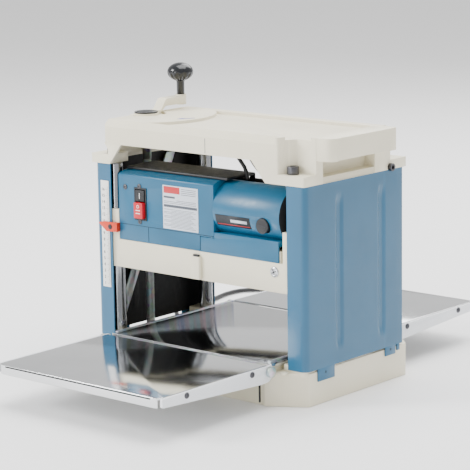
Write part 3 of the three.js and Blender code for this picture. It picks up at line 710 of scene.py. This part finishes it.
def scale_marks():
    low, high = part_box("thickness_scale")
    bm = bmesh.new()
    step = 0.002
    for i in range(int((high.z - low.z - 0.012) / step)):
        z = low.z + 0.006 + step * i
        length = 0.0062 if i % 5 == 0 else 0.0034
        right = high.x - 0.0006
        slab(bm, (right - length, low.y - 0.0002, z), (right, low.y + 0.0001, z + 0.0003))
    finish_piece("scale_ticks", bm, ("ink",), "root")
    texts = [(str(i + 1), (low.x + 0.0052, low.y - 0.0002, low.z + 0.006 + 0.01 * i))
             for i in range(16)]
    numbers("scale_numbers", texts, 0.0068, UPRIGHT, "root", "ink")
    pointer_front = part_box("thickness_pointer")[0].y
    screws("pointer_screw", [(-0.178, pointer_front, 0.2298)], "-y", 0.0042, 0.0014, "head", "ink")


def head_details():
    bm = bmesh.new()
    screw_head(bm, (0.1495, FRONT, 0.197), "-y", 0.008, 0.0024)
    finish_piece("head_panel_screw", bm, ("machined", "ink"), "head")
    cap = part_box("brush_cap")[0]
    bm = bmesh.new()
    slab(bm, (0.1215, cap.y - 0.0006, 0.2630), (0.1385, cap.y + 0.0004, 0.2652), 0.0003)
    finish_piece("brush_cap_slot", bm, ("ink",), "head")
    bm = bmesh.new()
    for x in (-0.1025, 0.0042):
        slab(bm, (x - 0.0003, FRONT - 0.0004, 0.213), (x + 0.0003, FRONT + 0.0004, 0.236), 0.0001, 1)
    slab(bm, (-0.163, FRONT - 0.0004, 0.2362), (0.031, FRONT + 0.0004, 0.2368), 0.0001, 1)
    finish_piece("housing_seams", bm, ("dark_parts_and_painted_shade",), "head")


def frame_details():
    low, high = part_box("top_frame")
    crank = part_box("crank_cap")
    cx, cy = (crank[0].x + crank[1].x) / 2, (crank[0].y + crank[1].y) / 2
    bm = bmesh.new()
    for i in range(40):
        a = 2 * math.pi * i / 40
        long = 0.0022 if i % 5 == 0 else 0.0013
        m = Matrix.Translation((cx, cy, crank[1].z)) @ Matrix.Rotation(a, 4, "Z")
        bmesh.ops.create_cube(bm, size=1, matrix=m @ Matrix.Translation((0.0172 - long / 2, 0, 0))
                              @ Matrix.Diagonal((long, 0.0005, 0.0002, 1)))
    finish_piece("crank_dial_ticks", bm, ("scale",), "crank")
    bm = bmesh.new()
    outline = [(-0.006, -0.0016), (0.012, -0.0016), (0.012, -0.005), (0.022, 0), (0.012, 0.005),
               (0.012, 0.0016), (-0.006, 0.0016)]
    m = (Matrix.Translation((cx + 0.099, cy - 0.004, high.z + 0.0001))
         @ Matrix.Rotation(math.radians(-122), 4, "Z"))
    lower = [bm.verts.new(m @ Vector((x, y, 0))) for x, y in outline]
    upper = [bm.verts.new(m @ Vector((x, y, 0.0003))) for x, y in outline]
    bm.faces.new(lower[::-1])
    bm.faces.new(upper)
    for i in range(len(outline)):
        j = (i + 1) % len(outline)
        bm.faces.new((lower[i], lower[j], upper[j], upper[i]))
    finish_piece("turning_arrow", bm, ("mark",), "root")
    bm = bmesh.new()
    slab(bm, (0.0235, low.y - 0.0002, 0.3635), (0.0245, low.y + 0.0008, 0.386), 0.0001, 1)
    finish_piece("frame_seam", bm, ("grey_ink",), "root")
    bm = bmesh.new()
    screw_head(bm, (0.2132, 0.083, 0.3335), "+x", 0.006, 0.006, "hex")
    finish_piece("rear_corner_bolt", bm, ("dark_steel",), "root")


def base_details():
    """A vertical dark strip of painted shade beside the front hinge, where the corner block steps out,
    and the small pads on the base's ledge.
    """
    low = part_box("base")[0]
    bm = bmesh.new()
    # Painted shade: a dark strip that stands for the shadow in the step beside the corner block.
    slab(bm, (0.1508, low.y + 0.0002, 0.008), (0.1520, low.y + 0.004, 0.046), 0.0002, 1)
    finish_piece("base_corner_step_shade", bm, ("dark_parts_and_painted_shade",), "root")
    bm = bmesh.new()
    for side in (-1, 1):
        for y in (-0.1315, 0.1345):
            lathe(bm, [(0, 0), (0.0062, 0), (0.0062, 0.0022), (0.0052, 0.003), (0, 0.003)],
                  Matrix.Translation((side * 0.178, y, 0.0498)), 24)
    finish_piece("base_ledge_pads", bm, ("cream",), "root")


def table_details():
    """A dark band of painted shade along the edges of each sub-table, and the small stops along the left
    rail.
    """
    for name, end in ENDS:
        low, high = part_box(f"{name}_table_plate")
        far = high.y if end > 0 else low.y
        # Painted shade: thin dark bands on the plate's side and end faces, for its dark edges.
        bm = bmesh.new()
        for side in (-1, 1):
            x0, x1 = sorted((side * (high.x + 0.0001), side * (high.x - 0.0012)))
            y0, y1 = sorted((end * 0.158, far - end * 0.016))
            slab(bm, (x0, y0, high.z - 0.0022), (x1, y1, high.z - 0.0008), 0.0003)
        y0, y1 = sorted((far - end * 0.0004, far - end * 0.0001))
        slab(bm, (low.x + 0.016, y0 - 0.0001, high.z - 0.0036),
             (high.x - 0.016, y1 + 0.0001, high.z - 0.0016))
        finish_piece(f"{name}_table_edge_shade_band", bm, ("dark_parts_and_painted_shade",), f"{name}_table")
    low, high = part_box("left_table_rail")
    bm = bmesh.new()
    for i in range(9):
        y = low.y + 0.012 + (high.y - low.y - 0.024) * i / 8
        slab(bm, (low.x + 0.0008, y - 0.003, high.z - 0.0004),
             (high.x - 0.0008, y + 0.003, high.z + 0.0003), 0.0002)
    finish_piece("left_rail_stops", bm, ("zinc",), "root")


def motor_wire():
    """A thin second lead from behind the motor up into the frame."""
    points = centripetal([(0.0905, -0.040, 0.3085), (0.0885, -0.047, 0.316), (0.0800, -0.056, 0.326),
                          (0.0700, -0.060, 0.337), (0.0590, -0.060, 0.349), (0.0500, -0.060, 0.362),
                          (0.0450, -0.060, 0.377), (0.0440, -0.060, 0.3885)], 0.003)
    bm = bmesh.new()
    rings = []
    for before, here, after in zip([points[0]] + points, points, points[1:] + [points[-1]]):
        along = (after - before).normalized()
        u = along.cross(Vector((0, 1, 0))).normalized()
        v = along.cross(u)
        rings.append([bm.verts.new(here + 0.0018 * (u * math.cos(a) + v * math.sin(a)))
                      for a in (2 * math.pi * k / 10 for k in range(10))])
    for a, b in zip(rings, rings[1:]):
        for k in range(10):
            bm.faces.new((a[k], a[(k + 1) % 10], b[(k + 1) % 10], b[k]))
    bm.faces.new(rings[0][::-1])
    bm.faces.new(rings[-1])
    smooth(bm, 60)
    wire = mesh_object("motor_lead", bm, "cord", None)
    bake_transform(wire)


def crank_knob():
    """The turned knob, with its underside fluted between eight ribs."""
    low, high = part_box("crank_knob")
    cx, cy = (low.x + high.x) / 2, (low.y + high.y) / 2
    rim, height, steps = (high.x - low.x) / 2, high.z - low.z, 96
    profile = [(0.0037, 0), (0.0060, 0), (0.0064, 0.0006), (0.0064, 0.0195), (0.0072, 0.0215)]
    for i in range(1, 17):
        a = math.radians(-74 + 164 * i / 16)
        profile.append((rim * math.cos(a) if i < 16 else 0, height - 0.0151 + 0.0150 * math.sin(a)))
    bm = bmesh.new()
    rings = []
    for radius, z in profile:
        ring = []
        for k in range(steps if radius > 1e-6 else 1):
            a = 2 * math.pi * k / steps
            under = min(1, max(0, (z - 0.0205) / 0.004)) * min(1, max(0, (height - 0.0150 - z) / 0.004))
            flute = max(0, math.cos(12 * a)) ** 0.6 * 0.0022 * under
            r = radius - flute
            ring.append(bm.verts.new((cx + r * math.cos(a), cy + r * math.sin(a), low.z + z)))
        rings.append(ring)
    for a, b in zip(rings, rings[1:]):
        for k in range(steps):
            j = (k + 1) % steps
            corners = list(dict.fromkeys((a[k], a[j], b[j % len(b)], b[k % len(b)])))
            bm.faces.new(corners)
    bore = [bm.verts.new((v.co.x, v.co.y, low.z + 0.034)) for v in rings[0]]
    for k in range(steps):
        j = (k + 1) % steps
        bm.faces.new((rings[0][k], bore[k], bore[j], rings[0][j]))
    bm.faces.new(bore)
    smooth(bm, 50)
    stands_for(mesh_object("crank_knob_shell", bm, "knob"), "crank_knob")


def lead_screw_thread(name):
    """A rolled trapezoidal thread round the exposed length of a lead screw."""
    low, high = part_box(f"{name}_lead_screw")
    cx = (low.x + high.x) / 2
    cy = (low.y + high.y) / 2
    outer, root, pitch, steps = 0.0069, 0.0059, 0.002, 14
    z0, z1 = 0.066, 0.326
    turns = round((z1 - z0) / pitch)
    bm = bmesh.new()
    rows = []
    for i in range(turns * steps + 1):
        a, z = 2 * math.pi * i / steps, z0 + pitch * i / steps
        rows.append([bm.verts.new((cx + r * math.cos(a), cy + r * math.sin(a), z + dz)) for r, dz in (
            (root, 0), (outer, 0.0005), (outer, 0.0010), (root, 0.0015))])
    for a, b in zip(rows, rows[1:]):
        for k in range(4):
            j = (k + 1) % 4
            bm.faces.new((a[k], a[j], b[j], b[k]))
    bm.faces.new(rows[0])
    bm.faces.new(rows[-1])
    for lo, hi, r in ((low.z, z0 + 0.001, 0.007), (z0, z1, root + 0.0001), (z1, high.z, 0.007)):
        lathe(bm, [(0, lo), (r, lo), (r, hi), (0, hi)], Matrix.Translation((cx, cy, 0)), 24)
    lathe(bm, [(0.0069, 0.022), (0.01, 0.022), (0.01, 0.028), (0.0069, 0.028)],
          Matrix.Translation((cx, cy, 0)), 28)
    smooth(bm, 40)
    stands_for(mesh_object(f"{name}_lead_screw_thread", bm, "zinc"), f"{name}_lead_screw")


# ---------------------------------------------------------------- build
add_camera()
add_stage()
add_cord()

refine("base", "cream", 0.0014, 3)
refine("main_table", "polished", 0.0006)
for name, end in ENDS:
    sub_table(name, end)
for name, side in SIDES:
    refine(f"{name}_table_rail", "zinc", 0.0004)
    side_cover(name, side)
    refine(f"{name}_brace", "zinc", 0.0004)
    lead_screw_thread(name)
    refine(f"{name}_lead_nut", "bronze", 0.0004)
    refine(f"{name}_drum_bearing", "machined", 0.0004)
    for end_name, end in ENDS:
        refine(f"{end_name}_{name}_column", "column", 0.0006)
        refine(f"{end_name}_{name}_frame_bolt", "dark_steel", 0.0006)
for node, look, width in (
        ("thickness_scale", "scale", 0.0002), ("top_frame", "cream", 0.0016),
        ("height_chain", "machined", 0.0004),
        ("cord_gland", "rubber", 0.0008), ("crank_arm", "cream", 0.001),
        ("crank_cap", "black_plastic", 0.0006),
        ("head_frame", "cream", 0.001), ("switch_box", "blue_plastic", 0.0012),
        ("motor_housing", "blue_plastic", 0.0012), ("brush_cap", "black_plastic", 0.0008),
        ("motor_stator", "iron", 0.0004), ("motor_armature", "bronze", 0.0004),
        ("chip_cover", "black_plastic", 0.0012), ("chip_hood", "black_plastic", 0.0012),
        ("thickness_pointer", "orange", 0.0003),
        ("depth_gauge_cover", "cream", 0.0006), ("depth_gauge", "black_plastic", 0.0004),
        ("on_button", "black_plastic", 0.001), ("off_button", "red", 0.001),
        ("cutter_drum", "machined", 0.0004),
        ("planer_knife_1", "polished", 0.0002), ("planer_knife_2", "polished", 0.0002),
        ("infeed_roller", "rubber", 0.0006), ("outfeed_roller", "rubber", 0.0006),
        ("drive_belt", "rubber", 0.0003)):
    refine(node, look, width)

switch_details()
labels()
scale_marks()
frame_details()
head_details()
crank_knob()
table_details()
base_details()
motor_wire()

motor = bpy.data.objects["motor_housing_shell"].data
motor.materials.append(LOOK["dark_parts_and_painted_shade"])
for face in motor.polygons:
    if face.center.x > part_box("motor_housing")[1].x - 0.0035:
        face.material_index = 1

lead = cleaned_copy("head_lead")
smooth(lead, 60)
lead = mesh_object("head_lead_flex", lead, "cord")
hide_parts("head_lead")
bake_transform(lead)
